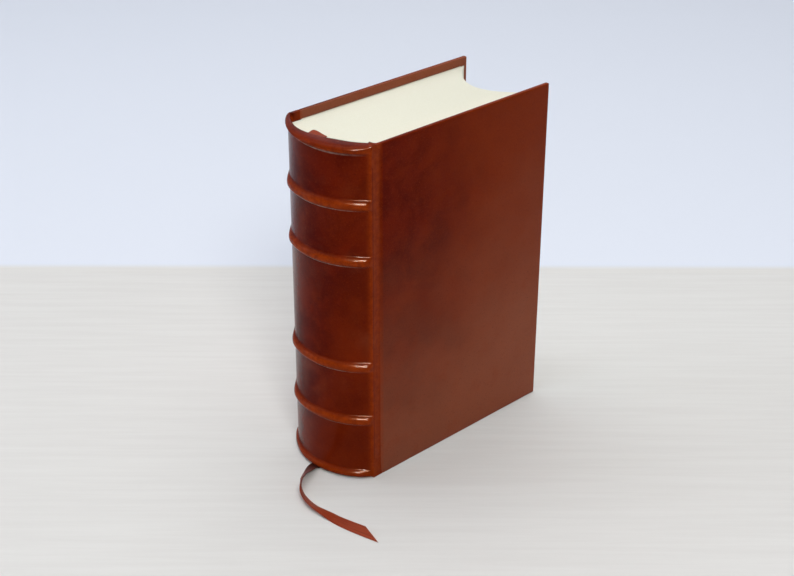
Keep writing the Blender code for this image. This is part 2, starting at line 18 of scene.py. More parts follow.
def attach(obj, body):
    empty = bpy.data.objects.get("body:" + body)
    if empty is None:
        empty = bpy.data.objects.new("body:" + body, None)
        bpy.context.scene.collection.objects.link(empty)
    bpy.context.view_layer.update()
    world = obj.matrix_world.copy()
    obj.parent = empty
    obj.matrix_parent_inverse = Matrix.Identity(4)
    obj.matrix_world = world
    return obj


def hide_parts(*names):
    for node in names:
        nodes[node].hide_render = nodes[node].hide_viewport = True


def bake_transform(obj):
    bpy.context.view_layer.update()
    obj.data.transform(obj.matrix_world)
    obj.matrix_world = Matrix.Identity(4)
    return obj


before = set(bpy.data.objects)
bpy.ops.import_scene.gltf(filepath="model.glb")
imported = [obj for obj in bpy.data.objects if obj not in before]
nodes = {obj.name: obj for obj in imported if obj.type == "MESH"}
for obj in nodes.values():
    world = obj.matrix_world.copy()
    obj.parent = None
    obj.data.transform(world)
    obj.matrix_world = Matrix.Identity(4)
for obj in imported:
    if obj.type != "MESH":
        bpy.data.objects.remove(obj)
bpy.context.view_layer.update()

# %% [markdown]
# ## Camera
# The camera was fitted to the straight edges of the boards.  It is turned with three plain
# angles, so a reader can see that it looks down at the book over its front shoulder.

# %% Camera
def add_object(name, data):
    made = bpy.data.objects.new(name, data)
    bpy.context.scene.collection.objects.link(made)
    return made


def add_camera(place, turn, down, roll, lens):
    """A camera at a place, turned from +Y, tipped down and rolled, all in degrees."""
    data = bpy.data.cameras.new("view")
    data.lens, data.sensor_width = lens, 36
    data.clip_start, data.clip_end = 0.01, 50
    made = add_object("view", data)
    pose = (Matrix.Rotation(math.radians(turn), 4, "Z")
            @ Matrix.Rotation(math.radians(90 - down), 4, "X")
            @ Matrix.Rotation(math.radians(roll), 4, "Z"))
    made.matrix_world = Matrix.Translation(place) @ pose
    bpy.context.scene.camera = made
    return made


camera = add_camera((-0.57035, -0.5877, 0.5269), -43.62, 27.87, 0.11, 68.15)
forward = camera.matrix_world.to_3x3() @ Vector((0, 0, -1))
print("camera looks along", [round(x, 3) for x in forward])

# %% [markdown]
# ## Sizes that several pieces share
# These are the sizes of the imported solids.  The book's plan is a set of arcs and straight
# lines, so a few numbers give every surface.

# %% Sizes
BOARD_HEIGHT, HALF_BOOK, COVER_THICKNESS = 0.216, 0.03505, 0.0028
SHOULDER_X, FORE_EDGE_X, BACK_COVER_SHORT = -0.06195, 0.08165, 0.0012
GROOVE_Y, SHOULDER_Y, GROOVE_EDGE = 0.0339, 0.0347, -0.05565
LEATHER, PARED_LEATHER, JOINT_FOLD, TURN_IN = 0.0006, 0.0004, 0.0015, 0.0050
HALF_LEAVES, BACK_HALF, LEAVES_TAIL, LEAVES_HEAD = 0.03195, 0.03225, 0.0048, 0.2107
JOINT_FROM, JOINT_TO = SHOULDER_X + 0.0017, GROOVE_EDGE - 0.0004   # leather bends between
JOINT_FLOOR = GROOVE_Y + 0.00035     # the groove's floor rises a little towards the spine


def arc_radius(half_width, rise):
    return (half_width ** 2 + rise ** 2) / (2 * rise)


SPINE_ROUND, BACK_ROUND = 0.0170, 0.0120
RIDGE_RUN, BACK_SHORT = 2.7, 0.27    # degrees by which the stations end before the two arcs do
SPINE_RADIUS = arc_radius(SHOULDER_Y, SPINE_ROUND)
SPINE_CENTRE_X = SHOULDER_X - SPINE_ROUND + SPINE_RADIUS
BACK_RADIUS = arc_radius(BACK_HALF, BACK_ROUND)
BACK_CENTRE_X = SHOULDER_X - BACK_ROUND + BACK_RADIUS
SHOULDER_ANGLE = math.degrees(math.asin(SHOULDER_Y / SPINE_RADIUS)) - RIDGE_RUN
BACK_SHARE = (math.degrees(math.asin(BACK_HALF / BACK_RADIUS)) - BACK_SHORT) / SHOULDER_ANGLE
print("spine radius mm:", round(1000 * SPINE_RADIUS, 2), "shoulders at", round(SHOULDER_ANGLE, 2))

# %% [markdown]
# ## Helpers
# Leather, cloth, paper and ribbon are all skins of nearly even section, so most pieces are
# lofts: closed rings of points, each joined to the next.  Points that are worked out one by
# one keep every edge where the section puts it, which smoothing modifiers would move.

# %% Helpers for meshes
def add_piece(name, vertices, faces, sharp=40):
    """A mesh piece with its faces turned outwards and its corners smooth below an angle."""
    mesh = bpy.data.meshes.new(name)
    mesh.from_pydata([tuple(v) for v in vertices], [], faces)
    work = bmesh.new()
    work.from_mesh(mesh)
    bmesh.ops.recalc_face_normals(work, faces=work.faces)
    work.to_mesh(mesh)
    work.free()
    mesh.shade_smooth()
    mesh.set_sharp_from_angle(angle=math.radians(sharp))
    return add_object(name, mesh)


def loft_faces(ring_count, size, capped=True):
    """Faces that join closed rings of points into one closed skin."""
    faces = []
    for low in range(ring_count - 1):
        a, b = low * size, (low + 1) * size
        faces += [(a + k, a + (k + 1) % size, b + (k + 1) % size, b + k) for k in range(size)]
    if capped:
        last = (ring_count - 1) * size
        faces += [tuple(reversed(range(size))), tuple(last + k for k in range(size))]
    return faces


def add_loft(name, rings, sharp=40, capped=True):
    return add_piece(name, [p for ring in rings for p in ring],
                     loft_faces(len(rings), len(rings[0]), capped), sharp)


def make_plain(piece):
    """Give a piece the mesh that its modifiers make of it, and drop them."""
    evaluated = piece.evaluated_get(bpy.context.evaluated_depsgraph_get())
    mesh = bpy.data.meshes.new_from_object(evaluated)
    piece.modifiers.clear()
    piece.data = mesh
    return piece

# %% Helpers for curves
def ease(share):
    """0 up to 0, 1 from 1 and a smooth rise between."""
    t = min(1.0, max(0.0, share))
    return t * t * (3 - 2 * t)


def quarter(count):
    """A quarter turn for rounded edges: from (0, 1) to (1, 0), bowed towards (0, 0)."""
    return [(1 - math.cos(a), 1 - math.sin(a)) for a in np.radians(np.linspace(0, 90, count))]


def smooth_rows(rows, parts):
    """Points on a smooth curve through rows of numbers, with extra points in between."""
    p = np.array([rows[0], *rows, rows[-1]], float)
    curve = []
    for k in range(1, len(p) - 2):
        for t in np.arange(parts) / parts:
            curve.append(0.5 * (2 * p[k] + (p[k + 1] - p[k - 1]) * t
                                + (2 * p[k - 1] - 5 * p[k] + 4 * p[k + 1] - p[k + 2]) * t ** 2
                                + (3 * p[k] - p[k - 1] - 3 * p[k + 1] + p[k + 2]) * t ** 3))
    return np.array([*curve, p[-1]])

# %% Helper that puts a piece in the frame
def dress(piece, body, *stood_for, slot=None):
    """Put a finished piece on its body, in place of the solids that it stands for."""
    if body:
        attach(piece, body)
    if stood_for:
        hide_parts(*stood_for)
    print(piece.name, len(piece.data.polygons), "faces")
    return piece

# %% [markdown]
# ## Ribbon marker
# The real ribbon is a strip of satin, glued to the backs of the leaves, led over the head,
# down between the leaves and out under the tail cap, where it turns over once and lies
# flat.  A curve with a bevel could not give its flat section and slanted cut, so it is a
# strip of its own: middle points, each with the direction of its width.

# %% Ribbon sizes and route
RIBBON_WIDTH, RIBBON_THICKNESS, RIBBON_BEND, RIBBON_PIVOT = 0.0072, 0.00025, 0.0006, 0.0003
RIBBON_CUT, RIBBON_LIFT = 0.0133, 0.00005
RIBBON_GLUED, RIBBON_BACK_X = 0.0600, -0.0716
HEAD_TURN, HEAD_TURN_SIZE, HEAD_BOW = (-0.0708, 0.0028), (0.0051, 0.0075), 0.0021
RIBBON_SLOT_X, RIBBON_SLOT_Y = -0.06675, 0.0022     # where it comes out at the tail
# X and Y of the free end's middle line, and how far it has rolled over, in degrees
FREE_ROUTE = (
    (-0.07345, -0.0021, 0), (-0.07745, -0.0014, 0), (-0.08105, -0.0010, 3),
    (-0.08435, -0.0022, 15), (-0.08835, -0.0043, 29), (-0.09305, -0.0064, 44),
    (-0.09695, -0.0091, 62), (-0.10125, -0.0130, 87), (-0.10495, -0.0179, 112),
    (-0.10705, -0.0219, 130), (-0.10865, -0.0272, 143), (-0.10925, -0.0338, 153),
    (-0.10835, -0.0408, 166), (-0.10735, -0.0476, 178), (-0.10685, -0.0542, 185),
    (-0.10565, -0.0621, 191), (-0.10415, -0.0690, 194), (-0.10235, -0.0762, 196),
)


def bend_frames(centre, start, end, radius, width_axis, steps=6):
    """Frames of a small bend between two directions from its centre."""
    turn = [math.pi / 2 * step / steps for step in range(steps + 1)]
    return [(Vector(centre) + radius * (math.cos(a) * start + math.sin(a) * end), width_axis)
            for a in turn]


def led_frames():
    """The ribbon in the book: glued run, over the head, down the leaves, out at the tail."""
    x, y, z = Vector((1, 0, 0)), Vector((0, 1, 0)), Vector((0, 0, 1))
    half, r = RIBBON_WIDTH / 2, RIBBON_BEND
    top = LEAVES_HEAD + 0.0002 + RIBBON_THICKNESS / 2
    flat = RIBBON_THICKNESS / 2 + RIBBON_LIFT
    start_y = HEAD_TURN[1] + HEAD_TURN_SIZE[1]
    frames = [(Vector((RIBBON_BACK_X, start_y, LEAVES_HEAD - RIBBON_GLUED)), y)]
    frames += bend_frames((RIBBON_BACK_X + r, start_y, top - r), -x, z, r, y)[:-1]
    # satin is springy: while it turns towards its slot, its outer edge bows up off the leaves
    for a in np.radians(np.linspace(0, 90, 19)):
        rise = HEAD_BOW * math.sin(2 * a) ** (8 if a < math.pi / 4 else 2.5)
        tip = math.asin(rise / RIBBON_WIDTH)
        out = math.cos(tip) * (math.sin(a) * x + math.cos(a) * y) + math.sin(tip) * z
        at = Vector((HEAD_TURN[0] + HEAD_TURN_SIZE[0] * math.sin(a),
                     HEAD_TURN[1] + HEAD_TURN_SIZE[1] * math.cos(a), top + rise / 2))
        frames.append((at, out))
    slot_x = HEAD_TURN[0] + HEAD_TURN_SIZE[0]
    frames += bend_frames((slot_x, HEAD_TURN[1], top - r), z, -y, r, x)[1:]
    frames += bend_frames((RIBBON_SLOT_X, RIBBON_SLOT_Y - r, flat + r), y, -z, r, x)
    turn = half + RIBBON_PIVOT
    corner = Vector((RIBBON_SLOT_X - turn, RIBBON_SLOT_Y - r - RIBBON_PIVOT, flat))
    for a in np.radians(np.linspace(0, 90, 13)):
        out = math.cos(a) * x - math.sin(a) * y
        frames.append((corner + turn * out, out))
    return frames


def free_frames():
    """The free end: out under the tail cap, half a turn over, and flat to its cut end."""
    route = smooth_rows(FREE_ROUTE, 6)
    run = np.gradient(route[:, :2], axis=0)
    frames = []
    for (px, py, roll), way in zip(route, run):
        way = Vector(way).normalized()
        left, roll = Vector((-way.y, way.x, 0)), math.radians(roll)
        width = left * math.cos(roll) + Vector((0, 0, math.sin(roll)))
        height = RIBBON_WIDTH / 2 * abs(math.sin(roll)) + RIBBON_LIFT
        height += RIBBON_THICKNESS / 2 * max(abs(math.cos(roll)), 0.2)
        frames.append((Vector((px, py, height)), width))
    return frames

# %% Ribbon strip
def ribbon_strip(name, frames, slanted=0):
    """A thin strip with rounded selvedges along frames; the last few may run into a slant."""
    across, last = np.linspace(-1, 1, 9), len(frames) - 1
    vertices, places = [], []
    for k, (centre, width) in enumerate(frames):
        before, after = frames[max(k - 1, 0)][0], frames[min(k + 1, last)][0]
        along = (after - before).normalized()
        side = width.normalized() * RIBBON_WIDTH / 2
        up = along.cross(side).normalized() * RIBBON_THICKNESS / 2
        slant = along * RIBBON_CUT / 2 * (max(0, k + slanted - last) / max(1, slanted))
        for sign, row in ((-1, across), (1, across[::-1])):
            for a in row:
                body = 0.72 if abs(a) < 0.9 else 0.35
                vertices.append(centre + (side + slant) * a + up * sign * body)
                places.append((k, a))
    piece = add_piece(name, vertices, loft_faces(len(frames), 2 * len(across)), sharp=60)
    travelled = np.cumsum([0] + [(b[0] - a[0]).length for a, b in zip(frames, frames[1:])])
    place = piece.data.attributes.new("ribbon_place", "FLOAT_VECTOR", "POINT")
    rows = np.array([(travelled[k], a, 0) for k, a in places], np.float32)
    place.data.foreach_set("vector", rows.ravel())
    return piece, travelled[-1]


led = led_frames()
free = free_frames()
led_ribbon, led_length = ribbon_strip("ribbon_in_book", led + free[:1])
free_ribbon, free_length = ribbon_strip("ribbon_free_end", free, slanted=12)
for part in (led_ribbon, free_ribbon):
    dress(part, "book_block", "ribbon_marker", slot="ribbon")
print("ribbon: led", round(1000 * led_length, 1), "mm, free", round(1000 * free_length, 1), "mm")

# %% [markdown]
# ## Spine leather
# One skin goes round the spine, swells over the raised bands and over the cords in the
# caps, and turns in at head and tail.  A subdivision surface would round off the narrow
# bands, so the skin is a loft: the same section, tail to head, at many stations round the
# spine, and only the height of the bands and the depth of the caps change between them.

# %% Spine stations
def arc_point(centre_x, radius, angle):
    a = math.radians(angle)
    return Vector((centre_x - radius * math.cos(a), radius * math.sin(a)))


def station(angle, clear=0.0003):
    """Plan points of the spine's surface and, just clear of the leaves, of its turned-in edge."""
    return (arc_point(SPINE_CENTRE_X, SPINE_RADIUS, angle),
            arc_point(BACK_CENTRE_X, BACK_RADIUS + clear, angle * BACK_SHARE))


def sunk(angle, start, end):
    """1 up to the start angle and 0 from the end angle, with a smooth fall between."""
    return 1.0 - ease((abs(angle) - start) / (end - start))


def band_share(angle):
    """How much of its height a band keeps; it is worked down flat towards the shoulders."""
    return sunk(angle, 48.0, 52.5) if angle < 0 else sunk(angle, 24.0, 50.0)


def cap_share(angle):
    """The same for the caps, which stay fuller."""
    if angle < 0:
        return sunk(angle, 38.0, 56.0)
    return (0.68 + 0.32 * sunk(angle, 6.0, 32.0)) * sunk(angle, 47.0, 62.0)


def shoulder_rows(side):
    """From the last station of the round over the ridge to the groove's floor, as if at +Y."""
    start, inside = station(SHOULDER_ANGLE)
    crest = Vector((SHOULDER_X, SHOULDER_Y - 0.00015))
    fold_y = GROOVE_Y - JOINT_FOLD
    outer = [start, start.lerp(crest, 0.5) + Vector((-0.00010, 0.00018)), crest,
             Vector((SHOULDER_X + 0.0007, SHOULDER_Y - 0.00035)),
             Vector((SHOULDER_X + 0.00125, JOINT_FLOOR + 0.0001)), Vector((JOINT_FROM, JOINT_FLOOR))]
    inner = [inside, *(Vector((inside.x + past, fold_y + out))
                       for past, out in ((0.0002, 0.00015), (0.0005, 0.00005), (0.0010, 0.0))),
             Vector((SHOULDER_X + 0.0015, fold_y)), Vector((JOINT_FROM, fold_y))]
    bands = (band_share(side * SHOULDER_ANGLE), 0.0 if side > 0 else 0.22, 0.0, 0.0, 0.0, 0.0)
    caps = (cap_share(side * SHOULDER_ANGLE), 0.3 if side > 0 else 0.1, 0.0, 0.0, 0.0, 0.0)
    flat = (0.0, 0.6, 1.0, 1.0, 1.0, 1.0)
    return [(*o, *i, *shares) for o, i, *shares in zip(outer, inner, bands, caps, flat)]


def spine_rows(round_steps=84):
    """Outer point, turned-in point, band and cap share and flatness of every station."""
    rows = []
    for angle in np.linspace(-SHOULDER_ANGLE, SHOULDER_ANGLE, round_steps + 1)[1:-1]:
        outer, inner = station(angle)
        rows.append((*outer, *inner, band_share(angle), cap_share(angle), 0.0))
    front = smooth_rows(shoulder_rows(-1), 4)[::-1] * np.array([1, -1, 1, -1, 1, 1, 1])
    return np.array([*front, *rows, *smooth_rows(shoulder_rows(1), 4)])


stations = spine_rows()
print("stations round the spine:", len(stations))

# %% Sizes of bands and caps
BAND_CENTRES = (0.0410, 0.0774, 0.1461, 0.1808)
BAND_WIDTH, BAND_HEIGHT = 0.0062, 0.0027
CAP_HEIGHT, CAP_SWELL, CAP_TAIL_Z, CAP_HEAD_Z = 0.0052, 0.0023, 0.0006, 0.2159
TAIL_CAP_EDGE, HEAD_CAP_EDGE = 0.0019, 0.0022         # rounding of a cap's outer edge
HEAD_CAP_LOW, HEAD_CAP_GROWN = 0.62, 0.94             # share of the height, back and front
LIP_BACK, LIP_FRONT = -0.0008, 0.0045                 # how far a cap's lip leans in
LIP_ROUND, LIP_SIDE, LIP_UNDER, CAP_TURN_IN = 0.0014, 0.0026, 0.0034, 0.0120
LIP_FOCUS = Vector((-0.045, 0.0))                     # plan point that the lips lean towards
EDGE_SMALL, JOINT_TAIL_Z = 0.00045, 0.0001
GROOVE_FILL, GROOVE_FILL_HEIGHT = 0.82, 0.0105
print("bands at mm:", [round(1000 * z, 1) for z in BAND_CENTRES])


def filled(point):
    """Near head and tail the turned-in leather fills the groove, so its floor comes out."""
    x, y, z = point
    if not SHOULDER_X - 0.0006 < x < GROOVE_EDGE + 0.0012 or abs(y) < GROOVE_Y - 0.0003:
        return point
    fade = 1 - ease(min(z, BOARD_HEIGHT - z) / GROOVE_FILL_HEIGHT)
    out = max(0.0, HALF_BOOK - 0.00012 - abs(y)) * GROOVE_FILL * fade
    return (x, y + math.copysign(out, y), z)


def towards_front(y):
    """0 on the back half of the spine and 1 near the front joint, smoothly."""
    return ease((0.020 - y) / 0.040)


def lip_lean(y):
    """The caps lean in over the leaves, more on the front half than on the back."""
    return LIP_BACK + (LIP_FRONT - LIP_BACK) * towards_front(y)

# %% Section of a band
def band_section(share):
    """Offset, height, rubbing and painted reflection line of a band's section, with a soft foot on
    both sides.
    """
    half = smooth_rows(((-1.28, 0.0), (-1.0, 0.13), (-0.82, 0.55), (-0.5, 0.88), (-0.22, 0.985),
                        (0.0, 1.0)), 3)
    whole = np.array([*half, *(half[-2::-1] * (-1, 1))])
    wide = BAND_WIDTH / 2 * (1 + 0.22 * (1 - share) ** 2)     # it spreads where it runs out
    return [(max(0.0, rise) * BAND_HEIGHT * share, t * wide, max(0.0, rise) * share ** 0.5,
             1.0 if -1.25 < t < -0.97 else 0.0) for t, rise in whole]

# %% Section of a cap
def cap_section(share, depth, lean, flat, height, edge):
    """Section of a cap: swell, rounded top, lip and turned-in end, heights down from its top."""
    swell = CAP_SWELL * share
    full = min(1.0, (depth - JOINT_FOLD) / JOINT_FOLD)
    small = JOINT_FOLD / 2
    down = small + (edge - small) * max(share, 0.35 * full)
    down += (EDGE_SMALL - down) * flat
    lip_round = small + (LIP_ROUND - small) * full
    across = min(down * 2.0, 0.8 * (swell + depth + lean - lip_round))
    across += (EDGE_SMALL - across) * flat
    foot = smooth_rows(((0.0, 1.20), (0.0, 1.06), (0.18, 0.95), (0.62, 0.84), (0.93, 0.66),
                        (1.0, 0.50)), 3)[:-1]
    points = [(0.0, drop, 0.0, 0.0) for drop in (0.0128, 0.0110, 0.0094, 0.0081)]
    # the last number of each point marks the painted reflection line under the bead
    points += [(max(0.0, rise) * swell, max(drop * height, down), max(0.0, rise) * 0.8,
                1.0 if 0.93 < drop < 1.19 else 0.0) for rise, drop in foot]
    points += [(swell - across * c, down * s, 0.48 - 0.40 * c, 0.0) for c, s in quarter(12)]
    lip = -depth - lean
    points += [(lip + lip_round * s, lip_round * c, 0.10, 0.0) for c, s in quarter(8)]
    return points + [(lip, LIP_SIDE, 0.5, 0.0), (-depth, LIP_UNDER, 0.5, 0.0),
                     (-depth, CAP_TURN_IN, 0.5, 0.0)]

# %% Section of the spine leather
def leather_line(band, cap, depth, y, flat):
    """The grain side from tail to head: offset, height, how rubbed it is and where the painted
    reflection line lies.
    """
    lean = lip_lean(y)
    head_share = HEAD_CAP_LOW + (HEAD_CAP_GROWN - HEAD_CAP_LOW) * towards_front(y)
    tail_end = cap_section(cap, depth, lean, flat, CAP_HEIGHT, TAIL_CAP_EDGE)
    head_end = cap_section(cap, depth, lean, flat, CAP_HEIGHT * head_share, HEAD_CAP_EDGE)
    tail = CAP_TAIL_Z + (JOINT_TAIL_Z - CAP_TAIL_Z) * flat
    line = [(d, tail + z, r, 0.0) for d, z, r, _ in reversed(tail_end)]
    for centre in BAND_CENTRES:
        line += [(d, centre + z, r, w) for d, z, r, w in band_section(band)]
    return line + [(d, CAP_HEAD_Z - z, r, w) for d, z, r, w in head_end]


def flesh_side(line, turned=11):
    """The same line set in by the leather's thickness, which is pared where it turns in."""
    p = np.array(line)[:, :2]
    step = np.diff(p, axis=0)
    step /= np.maximum(np.linalg.norm(step, axis=1), 1e-9)[:, None]
    one, two = np.vstack([step[:1], step]), np.vstack([step, step[-1:]])
    along = one + two
    along /= np.maximum(np.linalg.norm(along, axis=1), 1e-9)[:, None]
    k = np.arange(len(p))
    thick = np.where(np.minimum(k, len(p) - 1 - k) < turned, PARED_LEATHER, LEATHER)
    reach = thick / np.maximum(0.75, (along * one).sum(axis=1))
    return np.column_stack([p[:, 0] - along[:, 1] * reach, p[:, 1] + along[:, 0] * reach])


def plan_point(outer, inner, d):
    """Plan point at an offset from the spine's surface; past the inner point it leans in."""
    past = -d - (outer - inner).length
    if past <= 0:
        return outer + (outer - inner).normalized() * d
    return inner + (LIP_FOCUS - inner).normalized() * past


def joint_rubbing_and_sheen(x):
    """The ridge beside a joint and the far half of its groove, less the floor, are lighter: rubbed
    by hands, and a painted highlight as well.
    """
    at = (-0.0650, -0.0638, -0.0632, -0.0622, -0.0612, -0.0604, -0.0592, -0.0577, -0.0560)
    return float(np.interp(x, at, (0.0, 0.35, 0.8, 0.75, 0.70, 0.72, 0.60, 0.75, 0.45)))


def leather_ring(row):
    """One closed section of the leather, how rubbed each point is, with the painted highlight beside
    a joint, and where the painted reflection line lies.
    """
    outer, inner, (band, cap, flat) = Vector(row[0:2]), Vector(row[2:4]), row[4:]
    line = leather_line(band, cap, (outer - inner).length, inner.y, flat)
    ring = [(d, z) for d, z, _, _ in line] + list(flesh_side(line)[::-1])
    points = [(*plan_point(outer, inner, d), z) for d, z in ring]
    points = [filled(p) if k < len(line) else p for k, p in enumerate(points)]
    beside, fade = joint_rubbing_and_sheen(row[0]), min(1.0, max(0.0, (outer.y + 0.033) / 0.016))
    # beside a joint the grain side gets rubbed colour and the painted highlight of ridge and groove
    rubbed_and_sheen = [max(r, beside if d > -0.0010 else 0.0) for d, z, r, w in line] + [0.0] * len(line)
    # the painted reflection line under bands and caps fades out towards the front joint
    reflection_line = [w * fade * (1 - flat) for d, z, r, w in line] + [0.0] * len(line)
    return points, rubbed_and_sheen, reflection_line

# %% Spine skin
def mark_points(piece, name, values):
    """Keep one number for each point in an attribute that a material can read."""
    mark = piece.data.attributes.new(name, "FLOAT", "POINT")
    mark.data.foreach_set("value", np.asarray(values, np.float32).ravel())


rings, rubbed_and_sheen, reflection_line = zip(*(leather_ring(row) for row in stations))
spine_skin = add_loft("spine_skin", rings, sharp=50)
mark_points(spine_skin, "rubbed_and_sheen", rubbed_and_sheen)
mark_points(spine_skin, "reflection_line", reflection_line)
dress(spine_skin, "book_block", "spine_leather", slot="leather")

# %% [markdown]
# ## Joint leather
# In the grooves the leather bends when a cover opens.  A strip there starts with the spine's
# own section and ends with the cover's; it is put on no body and turns with neither.

# %% Section of the joint leather
def joint_ring(x, share, lean):
    """Section of the joint leather at X; the share goes from the spine to the cover."""
    low = JOINT_TAIL_Z * (1 - share)
    high = CAP_HEAD_Z + (BOARD_HEIGHT - CAP_HEAD_Z) * share
    r, fold = EDGE_SMALL, JOINT_FOLD
    turn_in = CAP_TURN_IN + (TURN_IN - CAP_TURN_IN) * share
    reach = np.array([1, 2, 3, 4, 5, 6, 7, 8.5, 10, 12, 16, 24, 36, 54]) * 0.001
    past = max(0.0, lean) * (1 - share) ** 2
    line = []
    for z, sign in ((low, 1), (high, -1)):
        half = [(0.0, z + sign * d, 0) for d in reach[::-1]] + [(0.0, z + sign * r, 0)]
        half += [(r * c, z + sign * r * s, 0) for c, s in quarter(6)[1:]]
        half += [(fold - r * s, z + sign * r * c, past) for c, s in quarter(6)]
        half += [(fold, z + sign * LIP_SIDE, past), (fold, z + sign * LIP_UNDER, 0)]
        half += [(fold, z + sign * turn_in, 0), (LEATHER, z + sign * turn_in, 0)]
        line += half[::-1] if sign > 0 else half
    ring = []
    raised = (JOINT_FLOOR - GROOVE_Y) * (1 - share) ** 2
    for d, z, out in line:
        at = Vector((x, GROOVE_Y - d + (raised if d < fold / 2 else 0.0)))
        at += (LIP_FOCUS - at).normalized() * out
        ring.append((filled((*at, z)) if d < fold / 2 else (*at, z), d))
    return ring


def across_joint(piece, side):
    """Bake a piece's transform into its mesh; both sides are treated alike."""
    if side > 0:
        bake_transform(piece)
    else:
        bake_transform(piece)

# %% Joint strips
def joint_strip(side, name):
    """The strip; its first and last rings are tongues a hair under the leather beside it."""
    lean = lip_lean(side * (GROOVE_Y - JOINT_FOLD))
    shares = [0.0, *np.linspace(0, 1, 17), 1.0]
    rings, rubbed_and_sheen = [], []
    for k, share in enumerate(shares):
        tongue = {0: -0.0005, len(shares) - 1: 0.0005}.get(k, 0.0)
        x = JOINT_FROM + (JOINT_TO - JOINT_FROM) * share
        section = joint_ring(x, share, lean)
        sink = 0.00001 if tongue else 0.0
        rings.append([(px + tongue, side * (py - sink), pz) for (px, py, pz), _ in section])
        # rubbed colour and a painted highlight in the groove
        rubbed_and_sheen.append([joint_rubbing_and_sheen(x) if d < JOINT_FOLD * 0.6 else 0.5 for _, d in section])
    strip = add_loft(name, rings, sharp=50, capped=False)
    mark_points(strip, "rubbed_and_sheen", rubbed_and_sheen)
    across_joint(strip, side)
    return dress(strip, None, slot="leather")


joint_strips = [joint_strip(-1, "front_joint_leather"),
                joint_strip(1, "back_joint_leather")]

# %% [markdown]
# ## Cover leather
# Each board is wrapped in leather that turns in at head, tail and fore edge.  The wrap is a
# loft of its plan with rounded edges, and two cutters make the pocket that holds the board
# and the window that the pastedown fills.

# %% Cover outline
EDGE_ROUND, SLOPE_RUN = 0.0007, 0.00175     # rounding of the edges, run of the groove's slope


def cover_plan(fore, side):
    """Plan of a covered board from the joint over the outer face to the inside."""
    outer, inner, floor = -HALF_BOOK, -HALF_BOOK + COVER_THICKNESS, -GROOVE_Y
    points = [(JOINT_TO, floor + JOINT_FOLD), (JOINT_TO, floor)]
    for t in np.linspace(0, 1, 11)[1:]:
        points.append((JOINT_TO + SLOPE_RUN * t, floor + (outer - floor) * ease(t)))
    points += [(fore - EDGE_ROUND * s, outer + EDGE_ROUND * c) for c, s in quarter(7)]
    points += [(fore - EDGE_ROUND * c, inner - EDGE_ROUND * s) for c, s in quarter(7)]
    points.append((GROOVE_EDGE, inner))
    return [(x, -side * y) for x, y in points]


def cover_levels():
    """Heights of the loft and how far the plan is drawn in there, for rounded ends."""
    low = [(EDGE_ROUND * c, EDGE_ROUND * s) for c, s in quarter(7)]
    low += [(z, 0.0) for z in (0.0020, 0.0035, 0.0050, 0.0065, 0.0080, 0.0105)]
    return low + [(BOARD_HEIGHT - z, drawn) for z, drawn in reversed(low)]


print("points in the plan of a cover:", len(cover_plan(FORE_EDGE_X, 1)))

# %% Cutters
def box_cutter(name, *spans):
    """A box from its spans along X, Y and Z."""
    faces = [(0, 1, 3, 2), (4, 6, 7, 5), (0, 4, 5, 1), (2, 3, 7, 6), (0, 2, 6, 4), (1, 5, 7, 3)]
    return add_piece(name, product(*spans), faces)


def cut_away(piece, cutters):
    """Cut the cutters out of a piece, keep the result as a plain mesh and drop the cutters."""
    for tool in cutters:
        modifier = piece.modifiers.new(tool.name, "BOOLEAN")
        modifier.operation, modifier.solver, modifier.object = "DIFFERENCE", "EXACT", tool
    make_plain(piece)
    for tool in cutters:
        bpy.data.objects.remove(tool, do_unlink=True)
    piece.data.shade_smooth()
    piece.data.set_sharp_from_angle(angle=math.radians(40))
    return piece

# %% Cover skins
def cover_skin(side, name, fore):
    middle = side * (HALF_BOOK - COVER_THICKNESS / 2)
    rings = []
    for z, drawn in cover_levels():
        ring = []
        for x, y in cover_plan(fore, side):
            x, y, _ = filled((x, y, z))
            towards = -1 if y > middle else 1
            ring.append((min(x, fore - drawn), y + towards * drawn, z))
        rings.append(ring)
    skin = add_loft(name, rings)
    outer, inner = HALF_BOOK - LEATHER, HALF_BOOK - COVER_THICKNESS
    pocket_y = sorted((side * (inner + PARED_LEATHER), side * outer))
    window_y = sorted((side * (inner - 0.001), side * (GROOVE_Y - LEATHER)))
    pocket = box_cutter("pocket", (GROOVE_EDGE + LEATHER, fore - LEATHER), pocket_y,
                        (LEATHER, BOARD_HEIGHT - LEATHER))
    window = box_cutter("window", (JOINT_TO - 0.001, fore - TURN_IN), window_y,
                        (TURN_IN, BOARD_HEIGHT - TURN_IN))
    return cut_away(skin, [pocket, window])


front_skin = cover_skin(-1, "front_cover_skin", FORE_EDGE_X)
back_skin = cover_skin(1, "back_cover_skin", FORE_EDGE_X - BACK_COVER_SHORT)
dress(front_skin, "front_cover", "front_cover_leather", slot="leather")
dress(back_skin, "back_cover", "back_cover_leather", slot="leather")

# %% [markdown]
# ## Strips and cords under the leather
# The raised bands are half-round strips of card on the liner, and a cord fills each cap.
# They are pared down towards the shoulders as far as the leather over them sinks there.

# %% Strips and cords
CORE_END, CARD_BASE = 44, -0.0006      # end in degrees round the spine, foot of the card


def inner_strip(name, node, section_at, slot):
    """Sweep a section round the spine, in place of a solid."""
    rings = []
    for angle in np.linspace(-CORE_END, CORE_END, 61):
        outer, inner = station(angle)
        section = section_at(angle, (outer - inner).length)
        rings.append([(*plan_point(outer, inner, d), z) for d, z in section])
    return dress(add_loft(name, rings), "book_block", node, slot=slot)


def band_core(centre):
    def section(angle, depth):
        rise = BAND_HEIGHT * band_share(angle) - 0.0003
        half = BAND_WIDTH / 2 - LEATHER - 0.0003
        turn = np.radians(np.linspace(0, 180, 13))
        return [(CARD_BASE + rise * math.sin(a), centre + half * math.cos(a)) for a in turn]
    return section


